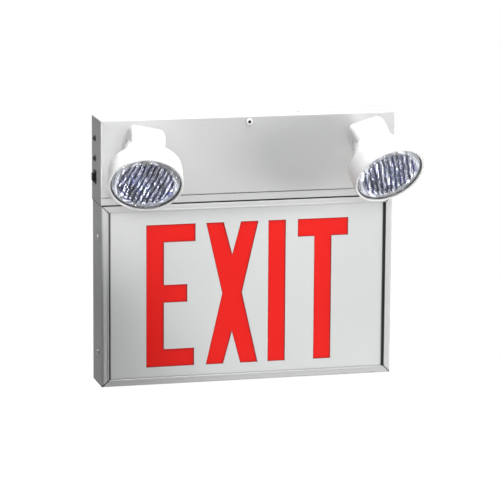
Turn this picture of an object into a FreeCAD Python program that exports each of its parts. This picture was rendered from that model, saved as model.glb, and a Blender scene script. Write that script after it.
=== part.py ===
"""Combined exit sign and emergency light: a steel battery housing with two swivelling lamp
heads, and under it a mitred sign box with a stencilled face.

Frame: X to the right as one faces the sign, +Y into the wall, +Z up. The back of the fixture is
the plane Y = 0 and the origin is the middle of its four wall screws. Millimetres.
"""
import FreeCAD, Part
import math
import os
import re

import Sketcher

# Driving dimensions, in millimetres and degrees: alias, value.
DRIVING = [
    # whole fixture
    ("sign_width", 420.0), ("sign_height", 258.0), ("housing_height", 119.0),
    ("depth", 60.0), ("sheet", 1.2), ("housing_proud", 1.2),
    # wall screws, wiring holes, canopy holes
    ("wall_screw_x", 150.0), ("wall_screw_z", 150.0), ("wall_screw_r", 3.0),
    ("wire_entry_r", 11.1), ("wire_entry_z", 140.0), ("wire_pass_r", 8.0), ("wire_pass_y", 27.0),
    ("canopy_hole_x", 78.0), ("canopy_hole_y", 32.2), ("canopy_hole_r", 2.1),
    ("hanger_hole_x", 10.0),
    # battery housing and its cover
    ("lip_height", 10.5), ("cover_wrap", 12.5), ("joggle", 1.4), ("cover_gap", 0.6),
    ("cover_hem", 6.0), ("hem_end", 2.0), ("cover_round", 1.6), ("tab_width", 22.0),
    ("tab_height", 13.0),
    ("fold_gap", 0.2), ("cover_screw_drop", 7.6), ("cover_screw_r", 2.0), ("cover_screw_length", 7.0),
    ("cover_screw_head_r", 4.6), ("cover_screw_head", 2.4), ("cover_screw_dome", 1.5),
    ("cross_half", 1.9), ("cross_slim", 0.45), ("cross_depth", 2.0),
    # sign frame rails
    ("rail_wall", 1.6), ("mitre_gap", 0.25), ("rail_face", 10.0), ("rail_round", 3.0),
    ("lip_width", 2.4),
    ("lip_proud", 0.7), ("lip_edge", 0.4), ("lip_leg", 3.2), ("leg_thick", 1.5),
    ("key_leg", 34.0), ("key_wide", 6.6), ("key_gap", 0.1),
    ("rail_screw_y", 33.1), ("rail_screw_high", 21.7), ("rail_screw_low", -143.0),
    ("rail_screw_r", 1.75), ("rail_screw_length", 8.0), ("rail_screw_head_r", 3.6),
    ("rail_screw_head", 2.0), ("rail_screw_dome", 1.4), ("screw_fit", 0.1),
    # sign tray, face and light source
    ("tray_gap", 0.2), ("tray_round", 1.2), ("face_thick", 1.0), ("glow_thick", 2.0),
    ("face_margin", 2.0),
    ("letter_height", 203.2), ("stroke", 25.4), ("letter_base", 24.6),
    ("e_left", -146.2), ("e_width", 70.6), ("e_middle_short", 11.6), ("e_bottom_short", 1.6),
    ("e_middle_up", 3.0),
    ("x_left", -60.4), ("x_width", 75.6), ("x_waist", 28.6), ("x_notch", 46.0),
    ("i_left", 29.6), ("t_left", 72.4), ("t_width", 73.8),
    ("strip_length", 380.0), ("strip_width", 12.0), ("strip_thick", 1.6), ("strip_y", 46.0),
    ("led_count", 16), ("led_pitch", 24.0), ("led_side", 3.5), ("led_thick", 1.4),
    # joining screws between housing and sign
    ("join_inner_x", 126.0), ("join_outer_x", 185.0), ("join_y", 22.0), ("join_r", 2.0),
    ("join_overrun", 6.0), ("join_head_r", 3.9), ("join_head_thick", 2.2), ("join_nut_flat", 7.0),
    ("join_nut_thick", 3.0), ("bush_wall", 2.0), ("bush_lip", 2.0),
    # lamp heads
    ("head_x", 160.8), ("head_z", 159.7), ("head_reach", 48.0), ("head_tilt", 38.4),
    ("left_pan", 13.0), ("right_pan", -15.7), ("tilt_up", 30.0), ("tilt_down", 30.0),
    ("lens_out", 71.0), ("lens_r", 47.6), ("lens_edge", 2.4), ("lens_crown", 1.8),
    ("rim_r", 51.2), ("rim_proud", 2.5), ("shell_wall", 2.6), ("seat_depth", 3.7),
    ("shoulder_out", 56.0), ("shoulder_r", 50.6), ("crease_out", 43.5), ("crease_r", 49.6),
    ("crease_step", 0.9), ("neck_r", 25.6), ("neck_bend", 70.0), ("shoulder_bend", 60.0),
    ("barrel_r", 26.0), ("barrel_half", 24.5), ("barrel_round", 8.0),
    ("cavity_out", 24.0), ("cavity_r", 30.8), ("flute_zone_r", 36.5), ("flute_count", 12),
    ("flute_pitch", 5.8),
    ("flute_low", 15.3), ("flute_raise", 1.6), ("prism_depth", 1.3), ("prism_rows", 3),
    ("prism_pitch", 5.0), ("prism_groove", 1.4),
    ("reflector_r", 45.4), ("reflector_out", 30.0), ("reflector_neck_r", 9.6), ("reflector_wall", 1.0),
    ("reflector_bend", 62.0),
    ("socket_r", 8.6), ("socket_length", 11.0), ("socket_cup", 5.0), ("bulb_r", 4.8),
    ("bulb_length", 22.0),
    # swivel
    ("tongue_width", 18.0), ("tongue_half", 9.0), ("boss_r", 12.0), ("slot_gap", 0.4),
    ("flange_r", 14.6), ("flange_thick", 4.0), ("flange_edge", 1.0), ("stem_r", 12.2),
    ("spigot_r", 10.6),
    ("spigot_length", 16.0), ("spigot_bore_r", 7.0), ("swivel_fit", 0.08), ("lead_hole_r", 2.4),
    ("lead_hole_up", 7.4), ("washer_r", 17.0), ("washer_thick", 1.2), ("nut_flat", 28.0),
    ("nut_thick", 6.0), ("bolt_r", 2.5), ("bolt_fit", 0.06), ("bolt_head_r", 4.4),
    ("bolt_head_thick", 3.4), ("bolt_dome", 1.2), ("bolt_key", 3.2), ("bolt_key_depth", 2.0),
    ("bolt_sink", 5.0), ("bolt_nut_flat", 8.0), ("bolt_nut_thick", 4.0), ("bolt_short", 0.5),
    # indicators and test switch on the left side
    ("side_parts_y", 23.3), ("power_led_z", 158.9), ("charge_led_z", 131.0), ("switch_z", 104.9),
    ("led_lens_r", 2.5), ("led_lens_proud", 3.6), ("led_lens_length", 11.0), ("bezel_r", 4.1),
    ("bezel_thick", 1.4), ("bezel_sleeve_r", 3.3), ("bezel_sleeve", 4.0),
    ("switch_wide", 14.0), ("switch_tall", 18.0), ("switch_flange", 1.6), ("shank_wide", 11.4),
    ("shank_tall", 14.4), ("shank_length", 14.0), ("button_wide", 8.0), ("button_tall", 11.0),
    ("button_proud", 3.4), ("button_length", 11.5), ("button_gap", 0.3), ("button_travel", 1.8),
    ("button_round", 1.0),
    # battery, transformer and charger board
    ("battery_x", 40.0), ("battery_wide", 70.0), ("battery_deep", 47.0), ("battery_tall", 101.0),
    ("battery_off", 0.4), ("battery_round", 2.0), ("strap_wide", 20.0), ("strap_foot", 12.0),
    ("strap_up", 52.0), ("strap_gap", 0.3), ("terminal_wide", 6.35), ("terminal_thick", 0.8),
    ("terminal_tall", 7.0), ("terminal_in", 12.0), ("terminal_back", 10.0),
    ("core_x", -36.0), ("core_wide", 50.0), ("core_deep", 30.0), ("core_tall", 42.0),
    ("core_leg", 16.0), ("core_window", 9.0), ("core_window_tall", 26.0), ("coil_gap", 0.3),
    ("coil_over", 6.0), ("coil_round", 2.5), ("core_off", 8.5),
    ("board_left", -145.0), ("board_wide", 72.0), ("board_low", 80.0), ("board_tall", 58.0),
    ("board_thick", 1.6), ("standoff_tall", 9.0), ("standoff_r", 2.8), ("standoff_in", 5.0),
    ("relay_wide", 16.0), ("relay_tall", 19.0), ("relay_deep", 15.0), ("relay_x", 10.0),
    ("relay_z", 12.0), ("capacitor_r", 6.5), ("capacitor_tall", 22.0), ("capacitor_x", 40.0),
    ("capacitor_pitch", 16.0), ("capacitor_z", 42.0), ("plug_x", 34.0), ("plug_z", 6.0),
    ("plug_tall", 8.0), ("plug_deep", 9.0), ("plug_ways", 5), ("plug_pitch", 6.0), ("plug_way_r", 1.6),
    ("plug_way_deep", 5.0),
    ("block_wide", 36.0), ("block_tall", 16.0), ("block_deep", 13.0), ("block_pitch", 11.0),
    ("block_way_r", 2.2), ("block_way_deep", 5.0), ("supply_x", 16.0), ("supply_z", 112.0),
]

doc = FreeCAD.newDocument("exit_light")
dims = doc.addObject("Spreadsheet::Sheet", "dims")
for row, (alias, value) in enumerate(DRIVING, start=1):
    dims.set(f"A{row}", alias)
    dims.set(f"B{row}", str(value))
    dims.setAlias(f"B{row}", alias)
doc.recompute()
ALIASES = {alias for alias, value in DRIVING}
PARTS = []


def bound(text):
    """The expression with each alias turned into a reference to its cell."""
    return re.sub(r"[A-Za-z_]\w*",
                  lambda word: "dims." + word[0] if word[0] in ALIASES else word[0], text)


def size(text):
    """The present value of an expression of the sheet's aliases."""
    return float(dims.evalExpression(bound(text)))


def bind(feature, prop, text):
    feature.setExpression(prop, bound(text))


def new_body(name):
    body = doc.addObject("PartDesign::Body", name)
    body.Label = name
    PARTS.append(body)
    return body


def sketch_on(body, role, at="0"):
    """A sketch on one of the body's origin planes, moved along the plane's normal by `at`.

    XZ_Plane: across is X, up is Z, normal to the front. XY_Plane: across X, up Y, normal up.
    YZ_Plane: across is Y, up is Z, normal to the right.
    """
    sketch = body.newObject("Sketcher::SketchObject", body.Name + "_sketch")
    plane = next(item for item in body.Origin.OriginFeatures if item.Role == role)
    sketch.AttachmentSupport = [(plane, "")]
    sketch.MapMode = "FlatFace"
    bind(sketch, "AttachmentOffset.Base.z", at)
    return sketch


def place(sketch, kind, geometry, point, text):
    index = sketch.addConstraint(Sketcher.Constraint(kind, -1, 1, geometry, point, size(text)))
    sketch.setExpression(f"Constraints[{index}]", bound(text))


def arc_between(start, end, radius):
    """The short arc from start to end, drawn anticlockwise: its centre is on the left of the way
    from start to end for a positive radius, and on the right for a negative one."""
    chord = end - start
    rise = math.sqrt(radius * radius - chord.Length ** 2 / 4)
    left = FreeCAD.Vector(-chord.y, chord.x, 0).normalize()
    centre = (start + end) * 0.5 + left * math.copysign(rise, radius)
    first, last = (start, end) if radius > 0 else (end, start)
    begin = math.atan2(first.y - centre.y, first.x - centre.x)
    finish = math.atan2(last.y - centre.y, last.x - centre.x)
    if finish < begin:
        finish += 2 * math.pi
    return Part.ArcOfCircle(Part.Circle(centre, FreeCAD.Vector(0, 0, 1), abs(radius)), begin, finish)


def outline(sketch, corners):
    """A closed outline. Each corner is (across, up) or (across, up, radius): with a radius, the
    stretch that leaves the corner is an arc, centred on its left if the radius is positive."""
    points = [FreeCAD.Vector(size(corner[0]), size(corner[1]), 0) for corner in corners]
    ends = []
    for number, corner in enumerate(corners):
        start, end = points[number], points[(number + 1) % len(points)]
        if len(corner) == 2:
            geometry = sketch.addGeometry(Part.LineSegment(start, end), False)
            ends.append((geometry, 1, 2))
            continue
        radius = size(corner[2])
        geometry = sketch.addGeometry(arc_between(start, end, radius), False)
        ends.append((geometry, 1, 2) if radius > 0 else (geometry, 2, 1))
        index = sketch.addConstraint(Sketcher.Constraint("Radius", geometry, abs(radius)))
        sketch.setExpression(f"Constraints[{index}]", "abs(" + bound(corner[2]) + ")")
    for number, corner in enumerate(corners):
        this, following = ends[number], ends[(number + 1) % len(ends)]
        joint = Sketcher.Constraint("Coincident", this[0], this[2], following[0], following[1])
        sketch.addConstraint(joint)
        place(sketch, "DistanceX", this[0], this[1], corner[0])
        place(sketch, "DistanceY", this[0], this[1], corner[1])


def rectangle(sketch, left, low, right, high):
    outline(sketch, [(left, low), (right, low), (right, high), (left, high)])


def disc(sketch, across, up, radius):
    centre = FreeCAD.Vector(size(across), size(up), 0)
    geometry = sketch.addGeometry(Part.Circle(centre, FreeCAD.Vector(0, 0, 1), size(radius)), False)
    index = sketch.addConstraint(Sketcher.Constraint("Radius", geometry, size(radius)))
    sketch.setExpression(f"Constraints[{index}]", bound(radius))
    place(sketch, "DistanceX", geometry, 3, across)
    place(sketch, "DistanceY", geometry, 3, up)


def hexagon(sketch, across, up, flats):
    """A hexagon with its flats facing up and down, `flats` from one flat to the other."""
    half, reach = f"({flats}) / 2", f"({flats}) / 2 / cos(30)"
    turns = [("1", "0"), ("0.5", "1"), ("-0.5", "1"), ("-1", "0"), ("-0.5", "-1"), ("0.5", "-1")]
    outline(sketch, [(f"{across} + {reach} * {cosine}", f"{up} + {half} * {sine}")
                     for cosine, sine in turns])


def feature(body, kind, sketch, length, midplane=False, reverse=False):
    item = body.newObject("PartDesign::" + kind, f"{body.Name}_{kind.lower()}")
    item.Profile = sketch
    bind(item, "Length", length)
    item.Midplane = midplane
    item.Reversed = reverse
    sketch.Visibility = False
    doc.recompute()
    return item


def pad(body, sketch, length, **ways):
    return feature(body, "Pad", sketch, length, **ways)


def pocket(body, sketch, length, midplane=False, forward=True):
    """Cuts along the sketch's normal, or against it if not forward, and must remove something."""
    before = body.Shape.Volume
    item = feature(body, "Pocket", sketch, length, midplane=midplane, reverse=forward and not midplane)
    if body.Shape.Volume > before - 1e-3:
        raise RuntimeError(body.Label + ": a pocket cuts nothing")
    return item


def turned(body, sketch, axis="V_Axis", kind="Revolution"):
    item = body.newObject("PartDesign::" + kind, f"{body.Name}_{kind.lower()}")
    item.Profile = sketch
    item.ReferenceAxis = (sketch, [axis])
    item.Angle = 360
    sketch.Visibility = False
    doc.recompute()
    return item


def round_edges(body, radius, wanted):
    """Fillets the edges of the body's present shape that the test `wanted` picks."""
    names = [f"Edge{number}" for number, edge in enumerate(body.Shape.Edges, start=1)
             if wanted(edge)]
    if not names:
        raise RuntimeError(body.Label + ": no edge to round")
    tip = body.Tip
    item = body.newObject("PartDesign::Fillet", body.Name + "_fillet")
    item.Base = (tip, names)
    bind(item, "Radius", radius)
    doc.recompute()
    return item


def along(edge, direction):
    """Whether a straight edge runs along a direction."""
    if edge.Curve.TypeId != "Part::GeomLine":
        return False
    return abs(edge.tangentAt(edge.FirstParameter).dot(direction)) > 0.999


AXIS_X, AXIS_Y, AXIS_Z = FreeCAD.Vector(1, 0, 0), FreeCAD.Vector(0, 1, 0), FreeCAD.Vector(0, 0, 1)

# Levels that several pieces share.
SEAM = "(sign_height + housing_height) / 2 - housing_height"
TOP = "(sign_height + housing_height) / 2"
BOTTOM = "-(sign_height + housing_height) / 2"
HALF = "sign_width / 2"
HOUSING_HALF = "(sign_width / 2 + housing_proud)"
COVER_LOW = f"({SEAM} + lip_height + cover_gap)"
HEADS = {"left": -1, "right": 1}


# ---------------------------------------------------------------- battery housing and cover

def battery_housing():
    """Folded steel box: back, top, sides and floor, a front lip under the cover, joggled edges
    that the cover wraps, and a folded tab for the cover screw."""
    body = new_body("battery_housing")
    shoulder = "depth - cover_wrap - fold_gap"
    front = "depth - sheet - fold_gap"
    outer = sketch_on(body, "XZ_Plane")
    rectangle(outer, f"-{HOUSING_HALF}", SEAM, HOUSING_HALF, TOP)
    pad(body, outer, shoulder)
    round_edges(body, "cover_round",
                lambda edge: along(edge, AXIS_Y) and edge.CenterOfMass.z > size(TOP) - 1)
    stepped = sketch_on(body, "XZ_Plane", shoulder)
    rectangle(stepped, f"-{HOUSING_HALF} + joggle", SEAM, f"{HOUSING_HALF} - joggle", f"{TOP} - joggle")
    pad(body, stepped, f"{front} - ({shoulder})")
    foot = sketch_on(body, "XZ_Plane", shoulder)
    rectangle(foot, f"-{HOUSING_HALF}", SEAM, HOUSING_HALF, f"{SEAM} + lip_height")
    pad(body, foot, "cover_wrap + fold_gap")
    foot_front, foot_top = -size("depth"), size(f"{SEAM} + lip_height")
    round_edges(body, "cover_round", lambda edge: abs(edge.CenterOfMass.y - foot_front) < 1e-3
                and edge.CenterOfMass.z < foot_top - 1)
    hollow = sketch_on(body, "XZ_Plane", "sheet")
    rectangle(hollow, f"-{HOUSING_HALF} + joggle + sheet", f"{SEAM} + sheet",
              f"{HOUSING_HALF} - joggle - sheet", f"{TOP} - joggle - sheet")
    pocket(body, hollow, "depth - 2 * sheet")
    wide = sketch_on(body, "XZ_Plane", "sheet")
    rectangle(wide, f"-{HOUSING_HALF} + sheet", f"{SEAM} + sheet",
              f"{HOUSING_HALF} - sheet", f"{TOP} - sheet")
    pocket(body, wide, f"{shoulder} - 2 * sheet")
    behind_lip = sketch_on(body, "XZ_Plane", "sheet")
    rectangle(behind_lip, f"-{HOUSING_HALF} + sheet", f"{SEAM} + sheet",
              f"{HOUSING_HALF} - sheet", f"{SEAM} + lip_height - sheet")
    pocket(body, behind_lip, "depth - 2 * sheet")
    tab = sketch_on(body, "XZ_Plane", f"{front} - sheet")
    rectangle(tab, "-tab_width / 2", f"{TOP} - joggle - sheet - tab_height",
              "tab_width / 2", f"{TOP} - joggle - sheet / 2")
    pad(body, tab, "sheet")
    back_holes = sketch_on(body, "XZ_Plane")
    disc(back_holes, "0", "wire_entry_z", "wire_entry_r")
    for side in ("-", ""):
        disc(back_holes, side + "wall_screw_x", "wall_screw_z", "wall_screw_r")
    pocket(body, back_holes, "sheet")
    tab_hole = sketch_on(body, "XZ_Plane", f"{front} - sheet - 1")
    disc(tab_hole, "0", f"{TOP} - cover_screw_drop", "cover_screw_r + screw_fit")
    pocket(body, tab_hole, "sheet + 2")
    floor_holes = sketch_on(body, "XY_Plane", f"{SEAM} - 1")
    disc(floor_holes, "0", "-wire_pass_y", "wire_pass_r")
    for place_x in ("-join_outer_x", "-join_inner_x", "join_inner_x", "join_outer_x"):
        disc(floor_holes, place_x, "-join_y", "join_r + screw_fit")
    pocket(body, floor_holes, "sheet + 2")
    top_holes = sketch_on(body, "XY_Plane", f"{TOP} - sheet - 1")
    for place_x in ("-canopy_hole_x", "hanger_hole_x", "canopy_hole_x"):
        disc(top_holes, place_x, "-canopy_hole_y", "canopy_hole_r")
    pocket(body, top_holes, "sheet + 2")
    side_holes = sketch_on(body, "YZ_Plane", f"-{HOUSING_HALF} - 1")
    for level in ("power_led_z", "charge_led_z"):
        disc(side_holes, "-side_parts_y", level, "bezel_sleeve_r")
    rectangle(side_holes, "-side_parts_y - shank_wide / 2", "switch_z - shank_tall / 2",
              "-side_parts_y + shank_wide / 2", "switch_z + shank_tall / 2")
    pocket(body, side_holes, "sheet + 2")


def front_cover():
    """Folded cover: a tray whose top and sides wrap the joggle, hemmed along its lower edge, with
    a hole for each swivel and one screw at the top."""
    body = new_body("front_cover")
    face = sketch_on(body, "XZ_Plane", "depth - cover_wrap")
    rectangle(face, f"-{HOUSING_HALF}", COVER_LOW, HOUSING_HALF, TOP)
    pad(body, face, "cover_wrap")
    front_level = -size("depth")
    round_edges(body, "cover_round",
                lambda edge: along(edge, AXIS_Y) and edge.CenterOfMass.z > size(TOP) - 0.5)
    round_edges(body, "cover_round", lambda edge: abs(edge.CenterOfMass.y - front_level) < 1e-3)
    inside = sketch_on(body, "XZ_Plane", "depth - cover_wrap")
    rectangle(inside, f"-{HOUSING_HALF} + sheet", f"{COVER_LOW} + sheet",
              f"{HOUSING_HALF} - sheet", f"{TOP} - sheet")
    pocket(body, inside, "cover_wrap - sheet")
    hem = sketch_on(body, "XZ_Plane", "depth - cover_wrap")
    rectangle(hem, f"-{HOUSING_HALF} + sheet", f"{COVER_LOW} - 1",
              f"{HOUSING_HALF} - sheet", f"{COVER_LOW} + 2 * sheet")
    pocket(body, hem, "cover_wrap - cover_hem")
    hem_ends = sketch_on(body, "XZ_Plane", "depth - cover_wrap")
    for side in ("-", ""):
        rectangle(hem_ends, f"{side}({HOUSING_HALF} - sheet - hem_end)", f"{COVER_LOW} - 1",
                  f"{side}({HOUSING_HALF} - sheet)", f"{COVER_LOW} + 2 * sheet")
    pocket(body, hem_ends, "cover_wrap - sheet")
    holes = sketch_on(body, "XZ_Plane", "depth - sheet")
    disc(holes, "0", f"{TOP} - cover_screw_drop", "cover_screw_r + screw_fit")
    for side in ("-", ""):
        disc(holes, side + "head_x", "head_z", "spigot_r + swivel_fit")
    pocket(body, holes, "2 * sheet")


def cover_screw():
    """Domed machine screw with a cross recess that holds the cover to the housing's tab."""
    body = new_body("cover_screw")
    head = sketch_on(body, "XZ_Plane", "depth")
    disc(head, "0", f"{TOP} - cover_screw_drop", "cover_screw_head_r")
    pad(body, head, "cover_screw_head")
    front = -size("depth + cover_screw_head")
    round_edges(body, "cover_screw_dome", lambda edge: abs(edge.CenterOfMass.y - front) < 1e-3)
    shank = sketch_on(body, "XZ_Plane", "depth - cover_screw_length")
    disc(shank, "0", f"{TOP} - cover_screw_drop", "cover_screw_r")
    pad(body, shank, "cover_screw_length")
    recess = sketch_on(body, "XZ_Plane", "depth + cover_screw_head - cross_depth")
    middle = f"{TOP} - cover_screw_drop"
    wide, slim = "cross_half", "cross_slim"
    low, below, above, high = (f"{middle} {offset}" for offset in (f"- {wide}", f"- {slim}",
                                                                  f"+ {slim}", f"+ {wide}"))
    outline(recess, [
        (f"-{wide}", below), (f"-{slim}", below), (f"-{slim}", low), (slim, low), (slim, below),
        (wide, below), (wide, above), (slim, above), (slim, high), (f"-{slim}", high),
        (f"-{slim}", above), (f"-{wide}", above)])
    pocket(body, recess, "cross_depth")


# ---------------------------------------------------------------- sign frame, tray and face

def frame_rail(name, run, turn, across, up, holes=(), roof=False):
    """Extruded rail: outer wall, rounded front edge, face with a raised inner lip and the leg that
    the sign face bears on. Both ends are mitred. Modelled upright with its outer wall at X = 0."""
    body = new_body(name)
    half = f"({run}) / 2"
    section = sketch_on(body, "XY_Plane", f"-{half}")
    outline(section, [
        ("0", "0"), ("0", "rail_round - depth", "rail_round"), ("rail_round", "-depth"),
        ("rail_face - lip_width", "-depth"), ("rail_face - lip_width + lip_edge", "-depth - lip_proud"),
        ("rail_face - lip_edge", "-depth - lip_proud"), ("rail_face", "-depth"),
        ("rail_face", "lip_leg - depth"), ("rail_face - leg_thick", "lip_leg - depth"),
        ("rail_face - leg_thick", "rail_wall - depth"), ("rail_wall", "rail_wall - depth"),
        ("rail_wall", "0")])
    pad(body, section, run)
    for end in ("-", ""):
        mitre = sketch_on(body, "XZ_Plane", "-1")
        outline(mitre, [("0", f"{end}({half} - mitre_gap)"),
                        ("2 * rail_face", f"{end}({half} - mitre_gap - 2 * rail_face)"),
                        ("2 * rail_face", f"{end}({half} + 1)"), ("0", f"{end}({half} + 1)")])
        pocket(body, mitre, "depth + 2 + lip_proud")
    if holes:
        drilled = sketch_on(body, "YZ_Plane", "-1")
        for level in holes:
            disc(drilled, "-rail_screw_y", level, "rail_screw_r + screw_fit")
        pocket(body, drilled, "rail_wall + 2")
    if roof:
        drilled = sketch_on(body, "YZ_Plane", "-1")
        disc(drilled, "-wire_pass_y", "0", "wire_pass_r")
        for place_x in ("-join_outer_x", "-join_inner_x", "join_inner_x", "join_outer_x"):
            disc(drilled, "-join_y", place_x, "join_r + screw_fit")
        pocket(body, drilled, "rail_wall + 2")
    body.Placement = FreeCAD.Placement(FreeCAD.Vector(0, 0, 0), FreeCAD.Rotation(AXIS_Y, turn))
    bind(body, "Placement.Base.x", across)
    bind(body, "Placement.Base.z", up)


def frame_rails():
    middle = f"({BOTTOM} + sign_height / 2)"
    levels = [f"rail_screw_high - {middle}", f"rail_screw_low - {middle}"]
    frame_rail("frame_rail_left", "sign_height", 0, f"-{HALF}", middle, holes=levels)
    frame_rail("frame_rail_right", "sign_height", 180, HALF, middle,
               holes=[f"-({level})" for level in levels])
    frame_rail("frame_rail_bottom", "sign_width", -90, "0", BOTTOM)
    frame_rail("frame_rail_top", "sign_width", 90, "0", SEAM, roof=True)


def corner_keys():
    """Four flat angle keys that join the mitres from inside."""
    body = new_body("corner_keys")
    flat = sketch_on(body, "XZ_Plane", "depth - lip_leg + key_gap")
    off = "(rail_wall + key_gap)"
    for side in ("-", ""):
        edge, inner, far = (f"{side}({HALF} - {off} - {reach})"
                            for reach in ("0", "key_wide", "key_leg"))
        for level, inward in ((BOTTOM, "+"), (SEAM, "-")):
            base, shelf, high = (f"{level} {inward} ({off} + {reach})"
                                 for reach in ("0", "key_wide", "key_leg"))
            outline(flat, [(edge, base), (far, base), (far, shelf), (inner, shelf),
                           (inner, high), (edge, high)])
    pad(body, flat, "lip_leg - rail_wall - 2 * key_gap")


def sign_tray():
    """Folded tray that nests in the frame: its floor is the sign's back, its edges press the face
    against the frame's legs, and its inside is the reflector."""
    body = new_body("sign_tray")
    off = "(rail_wall + tray_gap)"
    deep = "depth - lip_leg - face_thick - glow_thick - tray_gap"
    outer = sketch_on(body, "XZ_Plane")
    rectangle(outer, f"-{HALF} + {off}", f"{BOTTOM} + {off}", f"{HALF} - {off}", f"{SEAM} - {off}")
    pad(body, outer, deep)
    round_edges(body, "tray_round", lambda edge: along(edge, AXIS_Y))
    inner = sketch_on(body, "XZ_Plane", "sheet")
    rectangle(inner, f"-{HALF} + {off} + sheet", f"{BOTTOM} + {off} + sheet",
              f"{HALF} - {off} - sheet", f"{SEAM} - {off} - sheet")
    pocket(body, inner, "depth")
    back_holes = sketch_on(body, "XZ_Plane")
    for side in ("-", ""):
        disc(back_holes, side + "wall_screw_x", "-wall_screw_z", "wall_screw_r")
    pocket(body, back_holes, "sheet")
    for side in (f"-{HALF} + {off} - 1", f"{HALF} - {off} - sheet - 1"):
        drilled = sketch_on(body, "YZ_Plane", side)
        for level in ("rail_screw_high", "rail_screw_low"):
            disc(drilled, "-rail_screw_y", level, "rail_screw_r + screw_fit")
        pocket(body, drilled, "sheet + 2")
    roof = sketch_on(body, "XY_Plane", f"{SEAM} - {off} - sheet - 1")
    disc(roof, "0", "-wire_pass_y", "wire_pass_r")
    for place_x in ("-join_outer_x", "-join_inner_x", "join_inner_x", "join_outer_x"):
        disc(roof, place_x, "-join_y", "join_r + screw_fit")
    pocket(body, roof, "sheet + 2")


def face_outline(sketch):
    rectangle(sketch, f"-{HALF} + face_margin", f"{BOTTOM} + face_margin",
              f"{HALF} - face_margin", f"{SEAM} - face_margin")


def letters(sketch):
    """The word's four cut-outs: square strokes of one width, and a crossing pair of arms."""
    base, top = f"({BOTTOM} + letter_base)", f"({BOTTOM} + letter_base + letter_height)"
    middle = f"({BOTTOM} + letter_base + letter_height / 2)"
    low, high = f"{middle} - stroke / 2 + e_middle_up", f"{middle} + stroke / 2 + e_middle_up"
    outline(sketch, [
        ("e_left", base), ("e_left + e_width - e_bottom_short", base),
        ("e_left + e_width - e_bottom_short", f"{base} + stroke"),
        ("e_left + stroke", f"{base} + stroke"),
        ("e_left + stroke", low), ("e_left + e_width - e_middle_short", low),
        ("e_left + e_width - e_middle_short", high), ("e_left + stroke", high),
        ("e_left + stroke", f"{top} - stroke"), ("e_left + e_width", f"{top} - stroke"),
        ("e_left + e_width", top), ("e_left", top)])
    centre, right = "x_left + x_width / 2", "x_left + x_width"
    outline(sketch, [
        ("x_left", base), ("x_left + stroke", base), (centre, f"{base} + x_notch"),
        (f"{right} - stroke", base),
        (right, base), (f"{centre} + x_waist / 2", middle), (right, top),
        (f"{right} - stroke", top),
        (centre, f"{top} - x_notch"), ("x_left + stroke", top), ("x_left", top),
        (f"{centre} - x_waist / 2", middle)])
    rectangle(sketch, "i_left", base, "i_left + stroke", top)
    stem = "t_left + t_width / 2 - stroke / 2"
    outline(sketch, [
        (stem, base), (f"{stem} + stroke", base), (f"{stem} + stroke", f"{top} - stroke"),
        ("t_left + t_width", f"{top} - stroke"), ("t_left + t_width", top), ("t_left", top),
        ("t_left", f"{top} - stroke"), (stem, f"{top} - stroke")])


def stencil_plate():
    """Painted steel face with the letters cut through it."""
    body = new_body("stencil_plate")
    plate = sketch_on(body, "XZ_Plane", "depth - lip_leg - face_thick")
    face_outline(plate)
    pad(body, plate, "face_thick")
    cut = sketch_on(body, "XZ_Plane", "depth - lip_leg - face_thick")
    letters(cut)
    pocket(body, cut, "face_thick + 1")


def red_diffuser():
    """Translucent red sheet behind the stencil."""
    body = new_body("red_diffuser")
    sheet = sketch_on(body, "XZ_Plane", "depth - lip_leg - face_thick - glow_thick")
    face_outline(sheet)
    pad(body, sheet, "glow_thick")


def light_strips():
    """Two printed strips on the tray's roof and floor, and the diodes on them."""
    off = "(rail_wall + tray_gap + sheet)"
    levels = {"led_strip_top": (f"{SEAM} - {off} - strip_thick",
                                f"{SEAM} - {off} - strip_thick - led_thick"),
              "led_strip_bottom": (f"{BOTTOM} + {off}", f"{BOTTOM} + {off} + strip_thick")}
    for name, (level, _) in levels.items():
        body = new_body(name)
        strip = sketch_on(body, "XY_Plane", level)
        rectangle(strip, "-strip_length / 2", "-strip_y - strip_width / 2",
                  "strip_length / 2", "-strip_y + strip_width / 2")
        pad(body, strip, "strip_thick")
    for name, (_, level) in levels.items():
        body = new_body(name.replace("strip", "diodes"))
        diode = sketch_on(body, "XY_Plane", level)
        for number in range(int(size("led_count"))):
            at = f"led_pitch * ({number} - (led_count - 1) / 2)"
            rectangle(diode, f"{at} - led_side / 2", "-strip_y - led_side / 2",
                      f"{at} + led_side / 2", "-strip_y + led_side / 2")
        pad(body, diode, "led_thick")


def rail_screws():
    """Four domed screws through the side rails into the tray."""
    body = new_body("rail_screws")
    pieces = ((f"-{HALF} - rail_screw_head", "rail_screw_head_r", "rail_screw_head"),
              (HALF, "rail_screw_head_r", "rail_screw_head"),
              (f"-{HALF}", "rail_screw_r", "rail_screw_length"),
              (f"{HALF} - rail_screw_length", "rail_screw_r", "rail_screw_length"))
    for at, radius, length in pieces:
        drawn = sketch_on(body, "YZ_Plane", at)
        for level in ("rail_screw_high", "rail_screw_low"):
            disc(drawn, "-rail_screw_y", level, radius)
        pad(body, drawn, length)
    reach = size(f"{HALF} + rail_screw_head")
    round_edges(body, "rail_screw_dome", lambda edge: abs(abs(edge.CenterOfMass.x) - reach) < 1e-3)


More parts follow.
